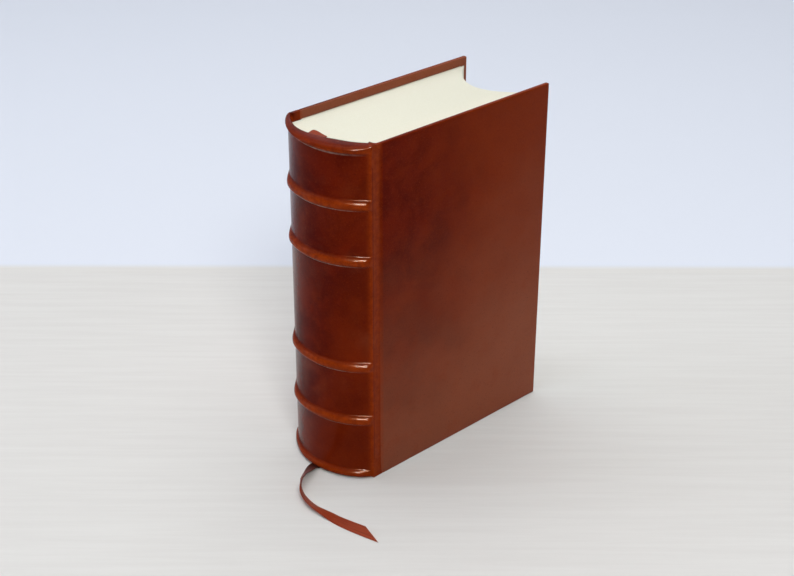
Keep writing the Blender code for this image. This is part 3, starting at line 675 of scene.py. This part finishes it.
def cap_core(middle, half_height=0.0010):
    def section(angle, depth):
        outer = 0.8 * CAP_SWELL * cap_share(angle) - LEATHER - 0.0008
        inner = -(depth - PARED_LEATHER - 0.0003)
        centre, half = (outer + inner) / 2, (outer - inner) / 2 * 0.94
        turn = np.radians(np.linspace(0, 360, 21))[:-1]
        return [(centre + half * math.cos(a), middle + half_height * math.sin(a)) for a in turn]
    return section


band_strips = [inner_strip(f"band_strip_{n}", f"raised_band_{n}", band_core(z), "card")
               for n, z in enumerate(BAND_CENTRES, 1)]
cap_reach = LEATHER + 0.0016           # from a cap's top to the middle of its cord
cap_cords = [inner_strip(name, node, cap_core(middle), "cord") for name, node, middle in (
    ("head_cap_filling", "head_cap_cord", CAP_HEAD_Z - cap_reach),
    ("tail_cap_filling", "tail_cap_cord", CAP_TAIL_Z + cap_reach))]

# %% [markdown]
# ## Paper hinges
# The endpaper runs from the board over the joint on to the first leaf, so that nothing of
# the inside shows when a cover is opened.  Like the joint leather it is put on no body.

# %% Paper hinges
PAPER_INSIDE, PAPER_OUTSIDE = 0.03202, 0.03220      # its two faces, from the book's middle


def paper_hinge(side, name):
    low, high = LEAVES_TAIL + 0.0005, LEAVES_HEAD - 0.0002
    near, far = side * PAPER_INSIDE, side * PAPER_OUTSIDE
    rings = [[(x, near, low), (x, far, low), (x, far, high), (x, near, high)]
             for x in np.linspace(SHOULDER_X + 0.0006, GROOVE_EDGE + 0.0020, 19)]
    hinge = add_loft(name, rings)
    across_joint(hinge, side)
    return dress(hinge, None, slot="pastedown")


paper_hinges = [paper_hinge(-1, "front_paper_hinge"),
                paper_hinge(1, "back_paper_hinge")]

# %% [markdown]
# ## Leaves
# A book block is a stack of cut leaves.  Each leaf is a flat plate that starts on the round
# of the backs and ends on the hollow of the fore edge, so the shape follows a rule and
# Geometry Nodes can stack them: points on a line, one plate on each, stretched to reach.

# %% Leaf plate
LEAF_PITCH, CUT_EDGE, UNEVENNESS = 0.00022, 0.0003, 0.00012
RIBBON_REACH, RIBBON_SPACE = 0.00012, 0.0042     # from the ribbon's middle: which leaf, how far
FORE_HOLLOW, FORE_CORNER_X = 0.0225, FORE_EDGE_X - 0.0040


def leaf_plate():
    """A plate one unit long and high, with its cut edges broken a little."""
    thick, broken = LEAF_PITCH / 2, 0.22 * LEAF_PITCH
    outline = [(0, -thick), (1 - CUT_EDGE, -thick), (1, -thick + broken), (1, thick - broken),
               (1 - CUT_EDGE, thick), (0, thick)]
    rings = []
    for z, drawn in ((0, broken), (0.0004, 0), (0.9996, 0), (1, broken)):
        rings.append([(x, math.copysign(abs(y) - drawn, y), z) for x, y in outline])
    plate = add_loft("leaf_plate", rings, sharp=20)
    plate.hide_render = True
    return plate


plate = leaf_plate()
print("plate faces:", len(plate.data.polygons))

# %% [markdown]
# ### Sums on sockets
# Geometry Nodes and materials both do sums, and a Math node for each would hide them.  A
# small class lets a socket be added and multiplied like a number.  Another adds any node
# from its type, its settings and the values or links of its sockets.

# %% Sockets that take part in sums
def math_node(operation, swapped=False):
    """A method that adds the Math node of one operation to the socket's graph."""
    def method(self, *others):
        values = (*others, self) if swapped else (self, *others)
        return self.graph.add("ShaderNodeMath", {"operation": operation}, dict(enumerate(values)))
    return method


class Socket:
    """An output socket that takes part in sums; each sign adds its Math node."""

    def __init__(self, graph, socket):
        self.graph, self.socket = graph, socket

    __add__ = __radd__ = math_node("ADD")
    __sub__, __rsub__ = math_node("SUBTRACT"), math_node("SUBTRACT", swapped=True)
    __mul__ = __rmul__ = math_node("MULTIPLY")
    __truediv__, __abs__, root = math_node("DIVIDE"), math_node("ABSOLUTE"), math_node("SQRT")
    below, larger = math_node("LESS_THAN"), math_node("MAXIMUM")

    def step(self, low, high):
        """0 below low, 1 above high and a smooth rise between."""
        return self.graph.add("ShaderNodeMapRange", {"interpolation_type": "SMOOTHSTEP"},
                              {"Value": self, "From Min": low, "From Max": high})

# %% Graphs of nodes
class Graph:
    """Adds nodes to a node tree; sockets are found by number, identifier or name."""

    def __init__(self, tree):
        self.tree = tree

    def add(self, kind, settings=None, sockets=None, output=0):
        made = self.tree.nodes.new(kind)
        for key, value in (settings or {}).items():
            setattr(made, key, value)
        for key, value in (sockets or {}).items():
            self.feed(self.find(made.inputs, key), value)
        return Socket(self, self.find(made.outputs, output))

    def find(self, sockets, key):
        if isinstance(key, int):
            return sockets[key]
        return next((s for s in sockets if s.identifier == key), None) or sockets[key]

    def feed(self, socket, value):
        if isinstance(value, Socket):
            self.tree.links.new(value.socket, socket)
        else:
            socket.default_value = value

    def axes(self, place):
        """X, Y and Z of a place as three sockets."""
        outputs = self.add("ShaderNodeSeparateXYZ", None, {0: place}).socket.node.outputs
        return [Socket(self, axis) for axis in outputs]

# %% Stack of leaves
class SizedTree(Graph):
    """A Geometry Nodes tree with named inputs for its sizes."""

    def __init__(self, name, sizes):
        super().__init__(bpy.data.node_groups.new(name, "GeometryNodeTree"))
        face = self.tree.interface
        face.new_socket("Geometry", in_out="OUTPUT", socket_type="NodeSocketGeometry")
        self.values = {}
        for label, value in sizes.items():
            kind = "NodeSocketInt" if isinstance(value, int) else "NodeSocketFloat"
            socket = face.new_socket(label, in_out="INPUT", socket_type=kind)
            self.values[socket.identifier] = value
        self.source = self.tree.nodes.new("NodeGroupInput")
        self.end = self.tree.nodes.new("NodeGroupOutput")

    def size(self, label):
        return Socket(self, self.source.outputs[label])

    def result(self, geometry, host_name):
        """Evaluate the tree on an empty mesh object and give a plain mesh object back."""
        self.feed(self.end.inputs[0], geometry)
        host = add_object(host_name, bpy.data.meshes.new(host_name))
        modifier = host.modifiers.new(self.tree.name, "NODES")
        modifier.node_group = self.tree
        for identifier, value in self.values.items():
            modifier[identifier] = value
        return make_plain(host)


leaves = SizedTree("stack_of_leaves", {
    "Leaves": int(2 * HALF_LEAVES / LEAF_PITCH), "Half thickness": HALF_LEAVES,
    "Tail": LEAVES_TAIL, "Head": LEAVES_HEAD, "Back centre": BACK_CENTRE_X,
    "Back radius": BACK_RADIUS, "Fore corner": FORE_CORNER_X, "Hollow": FORE_HOLLOW,
    "Unevenness": UNEVENNESS, "Ribbon place": RIBBON_SLOT_Y,
    "Ribbon fore edge": HEAD_TURN[0] + HEAD_TURN_SIZE[0] + RIBBON_SPACE, "Seed": 7})


def stack_leaves(t, plate, paper):
    index, count, radius = t.add("GeometryNodeInputIndex"), t.size("Leaves"), t.size("Back radius")
    part = (index + 0.5) / count
    y = t.size("Half thickness") * (part * 2.0 - 1.0)
    round_back = t.size("Back centre") - (radius * radius - y * y).root()
    # the leaf beside the ribbon starts in front of it, which leaves the ribbon its space
    beside = abs(y - t.size("Ribbon place")).below(RIBBON_REACH)
    back = round_back + beside * (t.size("Ribbon fore edge") - round_back)
    # the fore edge is a quadratic curve between its two corners
    fore = t.size("Fore corner") - part * (1.0 - part) * 4.0 * t.size("Hollow")
    uneven = t.add("FunctionNodeRandomValue", {"data_type": "FLOAT"}, {
        "Min_001": -1.0, "Max_001": 0.0, "Seed": t.size("Seed"), "ID": index}, "Value_001")
    fore = fore + uneven * t.size("Unevenness")
    points = t.add("GeometryNodeMeshLine", {"mode": "OFFSET"}, {"Count": count})
    place = t.add("ShaderNodeCombineXYZ", None, {0: back, 1: y, 2: t.size("Tail")})
    moved = t.add("GeometryNodeSetPosition", None, {"Geometry": points, "Position": place})
    stretch = t.add("ShaderNodeCombineXYZ", None, {
        0: fore - back, 1: 1.0, 2: t.size("Head") - t.size("Tail")})
    shape = t.add("GeometryNodeObjectInfo", {"transform_space": "ORIGINAL"}, {"Object": plate},
                  "Geometry")
    stacked = t.add("GeometryNodeInstanceOnPoints", None, {
        "Points": moved, "Instance": shape, "Scale": stretch})
    real = t.add("GeometryNodeRealizeInstances", None, {0: stacked})
    return t.add("GeometryNodeSetMaterial", None, {"Geometry": real, "Material": paper})

# %% [markdown]
# ## Materials
# Every finish is worked out from the place on the piece or from its own attribute, never
# from an image.  A recipe holds the Principled shader and the few nodes that all share.

# %% Recipe for a material
class Recipe(Graph):
    """A material, its Principled shader and the nodes that colour it."""

    def __init__(self, name):
        self.material = bpy.data.materials.new(name)
        self.material.use_nodes = True
        super().__init__(self.material.node_tree)
        self.shader = self.tree.nodes["Principled BSDF"]

    def place(self):
        return self.add("ShaderNodeTexCoord", None, None, "Object")

    def attribute(self, name, output="Fac"):
        return self.add("ShaderNodeAttribute", {"attribute_name": name}, None, output)

    def noise(self, place, scale, detail=3, roughness=0.5, **more):
        return self.add("ShaderNodeTexNoise", None, {
            "Vector": place, "Scale": scale, "Detail": detail, "Roughness": roughness, **more})

    def stretch(self, place, by):
        return self.add("ShaderNodeVectorMath", {"operation": "MULTIPLY"}, {0: place, 1: by})

    def mix(self, share, first, second):
        ends = [(*c, 1) if isinstance(c, tuple) else c for c in (first, second)]
        return self.add("ShaderNodeMix", {"data_type": "RGBA"}, {
            "Factor_Float": share, "A_Color": ends[0], "B_Color": ends[1]}, "Result_Color")

    def bump(self, height, depth, strength=1.0, **below):
        return self.add("ShaderNodeBump", None, {
            "Height": height, "Distance": depth, "Strength": strength, **below})

    def finish(self, **values):
        for key, value in values.items():
            self.feed(self.shader.inputs[key.replace("_", " ")], value)
        return self.material

# %% [markdown]
# ### Leather
# Calf that was stained by hand is mottled in patches of a few centimetres, darker in the middle
# of the panels, and lighter and more orange where hands and the folding tool have rubbed it.
# It is polished, so the grain shows mostly as a faint ripple in the reflections.  Painted light
# is laid into the colour too: a painted highlight on the ridge and groove beside each joint, a
# pale painted reflection line under each band and cap, and painted reflection and light that
# make the covers browner and paler towards the fore edge and tail and lighter inside.

# %% Leather
DARK, RED, WARM, RUBBED_AND_SHEEN = ((0.068, 0.0014, 0.0004), (0.130, 0.0080, 0.0012),
                           (0.200, 0.0225, 0.0015), (0.285, 0.0360, 0.0030))
# TAN is also painted reflection and light on the covers; the second tone is the pale painted
# reflection line under bands and caps
TAN, PAINTED_REFLECTION = (0.285, 0.0900, 0.0470), (0.360, 0.250, 0.210)


def leather_recipe(name, rubbed_and_sheen_from, browner, faded_and_painted_light):
    """Polished calf; the three functions give shares of rubbed colour, which beside the joints is
    also a painted highlight, of browner colour and of faded colour, which on the covers are painted
    reflection and painted light.
    """
    r = Recipe(name)
    place = r.place()
    patches = r.noise(place, 34, 4, 0.60, Distortion=0.5)
    clouds = r.noise(place, 85, 4, 0.62)
    speckle = r.noise(place, 1050, 3, 0.75)
    stains = r.noise(place, 330, 3, 0.6)
    hairlines = r.noise(r.stretch(place, (90, 90, 900)), 4.0, 2, 0.5)
    blotches = 0.55 + stains.step(0.35, 0.65) * 0.45
    colour = r.mix(patches.step(0.32, 0.70), DARK, RED)
    # each layer lies over those before it
    for share, tone in (
            # on the covers the browner and faded shares are painted reflection and painted light
            (browner(r, place), WARM), (faded_and_painted_light(r, place), TAN),
            # the rubbed share beside the joints is also a painted highlight
            (clouds.step(0.50, 0.76) * 0.22, WARM), (rubbed_and_sheen_from(r, place) * blotches, RUBBED_AND_SHEEN),
            (speckle.step(0.53, 0.75) * 0.30, (0.260, 0.0420, 0.0070)),
            ((1 - speckle).step(0.54, 0.76) * 0.45, (0.030, 0.0016, 0.0006)),
            # a painted reflection: the pale line under each band and cap
            (r.attribute("reflection_line") * (0.25 + stains.step(0.3, 0.7) * 0.35), PAINTED_REFLECTION),
            (hairlines.step(0.62, 0.78) * 0.18, (0.300, 0.0600, 0.0200))):
        colour = r.mix(share, colour, tone)
    pores = r.add("ShaderNodeTexVoronoi", {"feature": "DISTANCE_TO_EDGE"},
                  {"Vector": place, "Scale": 1500})
    grain = r.bump(pores.step(0.0, 0.25) + r.noise(place, 2400, 2) * 0.5, 0.000010)
    ripple = r.bump(r.noise(place, 150, 3), 0.00010, Normal=grain)
    gloss = 0.13 + clouds * 0.12
    return r.finish(Base_Color=colour, Roughness=gloss, Normal=ripple, Coat_Weight=0.03,
                    Coat_Roughness=0.05, Specular_IOR_Level=0.05,
                    Specular_Tint=(1.0, 0.40, 0.20, 1.0))

# %% Shares of rubbed, browner and faded colour, with painted highlight, reflection and light
def rubbed_and_sheen_by_mark(r, place):
    return r.attribute("rubbed_and_sheen")


def rubbed_and_sheen_on_edges(r, place):
    """Rubbed at head, tail and fore edge of the covers; beside the joint the groove's slope carries
    a painted highlight.
    """
    x, y, z = r.axes(place)
    ends = abs(z - BOARD_HEIGHT / 2).step(BOARD_HEIGHT / 2 - 0.0012, BOARD_HEIGHT / 2)
    fore = x.step(FORE_EDGE_X - 0.0016, FORE_EDGE_X)
    # painted highlight along the slope of the groove
    groove = (1 - x.step(GROOVE_EDGE - 0.0005, GROOVE_EDGE + 0.0018)) * 0.46
    return (ends.larger(fore) * 0.12).larger(groove)


def painted_reflection_to_fore_edge(r, place):
    """Painted reflection: the covers turn browner from beside the spine towards the fore edge."""
    x, y, z = r.axes(place)
    along = (x - SHOULDER_X) / (FORE_EDGE_X - SHOULDER_X)
    return (along + (r.noise(place, 18, 3, 0.6) - 0.5) * 0.8).step(0.02, 0.85) * 0.85


def painted_reflection_and_inside_light(r, place):
    """Painted reflection, paler towards the tail, and painted light on the turned-in leather inside
    the covers.
    """
    x, y, z = r.axes(place)
    along = (x - SHOULDER_X) / (FORE_EDGE_X - SHOULDER_X)
    down = 1 - z / BOARD_HEIGHT + along * 0.18 + (r.noise(place, 14, 3, 0.6) - 0.5) * 0.5
    # painted reflection, stronger low on the covers
    outside = down.step(0.26, 1.0) * 0.68
    # painted light on the inner faces of the covers
    inside = 1 - abs(y).step(HALF_BOOK - COVER_THICKNESS + 0.0002, HALF_BOOK - 0.0012)
    return outside.larger(inside * 0.8)


def browner_on_spine(r, place):
    """The panels of the spine are a little browner towards the front joint and the tail."""
    x, y, z = r.axes(place)
    wander = r.noise(place, 30, 3, 0.6)
    return (y * -14 + (1 - z / BOARD_HEIGHT) * 0.35 + (wander - 0.5) * 0.9).step(0.05, 0.95) * 0.45


def faded_on_spine(r, place):
    """The spine has hardly faded: a few soft clouds."""
    return r.noise(place, 45, 3, 0.6).step(0.50, 0.85) * 0.15


spine_calf = leather_recipe("spine_calf", rubbed_and_sheen_by_mark, browner_on_spine, faded_on_spine)
cover_calf = leather_recipe("cover_calf", rubbed_and_sheen_on_edges, painted_reflection_to_fore_edge, painted_reflection_and_inside_light)

# %% [markdown]
# ### Paper, ribbon, card and cloth
# Cut paper is matt, with lines where leaves lie closer or further apart.  Satin shines
# along its threads.  The card, cloth and cord are inside and only show if it is opened.

# %% Paper and ribbon
def paper_recipe(name, base, lines):
    r = Recipe(name)
    place = r.place()
    fibres = r.noise(place, 1800, 3, 0.6)
    layers = r.noise(r.stretch(place, (6, 1, 6)), lines, 3, 0.6)
    darker = tuple(c * k for c, k in zip(base, (0.90, 0.87, 0.80)))
    colour = r.mix(layers.step(0.35, 0.75) * 0.5, base, darker)
    return r.finish(Base_Color=colour, Roughness=0.86, Normal=r.bump(fibres, 0.00003, 0.6),
                    Specular_IOR_Level=0.15)


def satin_recipe(name):
    r = Recipe(name)
    where = r.attribute("ribbon_place", "Vector")
    weft = r.add("ShaderNodeTexWave", {"wave_type": "BANDS", "bands_direction": "X"},
                 {"Vector": where, "Scale": 900, "Distortion": 0.4})
    streaks = r.noise(r.stretch(where, (60, 9, 1)), 1.0, 3)
    colour = r.mix(streaks.step(0.3, 0.7), (0.200, 0.0220, 0.0060), (0.300, 0.0390, 0.0100))
    # the first centimetres are darkened with painted shade, where the ribbon comes out under the
    # tail cap
    along, across, _ = r.axes(where)
    colour = r.mix(1 - along.step(0.006, 0.034), colour, (0.045, 0.0050, 0.0030))
    return r.finish(Base_Color=colour, Roughness=0.42, Normal=r.bump(weft, 0.00004, 0.7),
                    Specular_IOR_Level=0.22, Specular_Tint=(1.0, 0.62, 0.48, 1.0))


leaf_paper = paper_recipe("leaf_paper", (0.82, 0.805, 0.695), 900)
satin = satin_recipe("rust_satin")

# %% Inner materials
def plain_recipe(name, dark, light, scale, depth):
    """A matt inner material: two tones and a rough surface."""
    r = Recipe(name)
    place = r.place()
    grains = r.noise(place, scale, 4, 0.65)
    colour = r.mix(grains.step(0.3, 0.7), dark, light)
    return r.finish(Base_Color=colour, Roughness=0.9, Normal=r.bump(grains, depth))


grey_card = plain_recipe("grey_card", (0.27, 0.25, 0.21), (0.40, 0.37, 0.31), 1400, 0.00005)
open_cloth = plain_recipe("mull_cloth", (0.50, 0.46, 0.37), (0.70, 0.65, 0.54), 2600, 0.00012)
hemp = plain_recipe("hemp_cord", (0.38, 0.29, 0.17), (0.58, 0.47, 0.30), 1100, 0.00015)
endpaper = paper_recipe("endpaper", (0.80, 0.74, 0.60), 260)

# %% Put the materials on
def coat(material, *pieces):
    for piece in pieces:
        piece.data.materials.clear()
        piece.data.materials.append(material)


coat(spine_calf, spine_skin, *joint_strips)
coat(cover_calf, front_skin, back_skin)
coat(satin, led_ribbon, free_ribbon)
coat(grey_card, *band_strips)
coat(hemp, *cap_cords)
coat(endpaper, *paper_hinges)

leaf_block = leaves.result(stack_leaves(leaves, plate, leaf_paper), "leaf_block")
bpy.data.objects.remove(plate, do_unlink=True)
dress(leaf_block, "book_block", "text_block", slot="pages")

inner = {"spine_liner": grey_card, "front_board": grey_card, "back_board": grey_card,
         "spine_mull": open_cloth, "front_pastedown": endpaper, "back_pastedown": endpaper}
for node, material in inner.items():
    for slot in nodes[node].material_slots:
        slot.material = material
print("solids with their own finish:", len(inner))

# %% [markdown]
# ## Floor and light
# The book stands on a pale floor whose far part is a little bluer, as a backdrop.  Light
# comes from a wide ceiling lamp and two windows.  One more window is seen only in the gloss
# of the leather, where it draws the pale line down the spine.

# %% Floor
def add_floor():
    mesh = bpy.data.meshes.new("floor")
    mesh.from_pydata([(-12, -12, 0), (12, -12, 0), (12, 12, 0), (-12, 12, 0)], [], [(0, 1, 2, 3)])
    floor = add_object("floor", mesh)
    r = Recipe("pale_floor")
    x, y, _ = r.axes(r.place())
    away, across = x * 0.690 + y * 0.724, x * 0.724 - y * 0.690
    far = away.step(0.208, 0.218)
    grain = r.add("ShaderNodeCombineXYZ", None, {0: across * 1.6, 1: away * 34})
    near = r.mix(r.noise(grain, 5, 5, 0.65).step(0.3, 0.7) * 0.6,
                 (0.70, 0.69, 0.675), (0.755, 0.75, 0.735))
    r.finish(Base_Color=r.mix(far, near, (0.755, 0.795, 0.885)), Roughness=0.6,
             Specular_IOR_Level=0.0)
    coat(r.material, floor)
    return floor


print("floor material:", add_floor().data.materials[0].name)

# %% Lamps and room
BOOK_MIDDLE = Vector((0, 0, 0.11))


def add_lamp(name, place, size, power, colour):
    """A rectangular lamp that faces the middle of the book."""
    data = bpy.data.lights.new(name, "AREA")
    data.shape, data.size, data.size_y = "RECTANGLE", size[0], size[1]
    data.energy, data.color = power, colour
    lamp = add_object(name, data)
    lamp.location = place
    lamp.rotation_mode = "QUATERNION"
    lamp.rotation_quaternion = (BOOK_MIDDLE - Vector(place)).to_track_quat("-Z", "Y")
    return lamp


def add_room(bright, dim):
    """A room that is pale behind the book and darker behind the camera."""
    world = bpy.data.worlds.new("room")
    bpy.context.scene.world = world
    world.use_nodes = True
    graph = Graph(world.node_tree)
    way = graph.add("ShaderNodeTexCoord", None, None, "Generated")
    ahead = graph.add("ShaderNodeVectorMath", {"operation": "DOT_PRODUCT"}, {
        0: way, 1: (0.55, 0.80, 0.10)}, "Value")
    strength = graph.add("ShaderNodeMapRange", {"interpolation_type": "SMOOTHSTEP"}, {
        "Value": ahead, "From Min": -0.5, "From Max": 0.5, "To Min": dim, "To Max": bright})
    background = world.node_tree.nodes["Background"].inputs
    graph.feed(background["Color"], (0.90, 0.94, 1.0, 1))
    graph.feed(background["Strength"], strength)


add_lamp("ceiling", (0.1, 0.2, 1.9), (1.8, 1.8), 20, (1.0, 0.98, 0.95))
add_lamp("window", (-1.55, 1.70, 0.95), (0.9, 1.5), 10, (0.86, 0.92, 1.0))
add_lamp("front_window", (-0.95, -1.45, 1.55), (0.50, 0.50), 18, (1.0, 0.98, 0.95))
# a tall window seen only in the gloss of the leather, as a reflector card would be
glare = add_lamp("glare", (-1.01, -0.92, 1.50), (0.75, 1.1), 430, (0.72, 0.95, 1.0))
glare.visible_diffuse = False
add_room(0.62, 0.14)

# %% Look and finish
bpy.context.scene.view_settings.view_transform = "Standard"
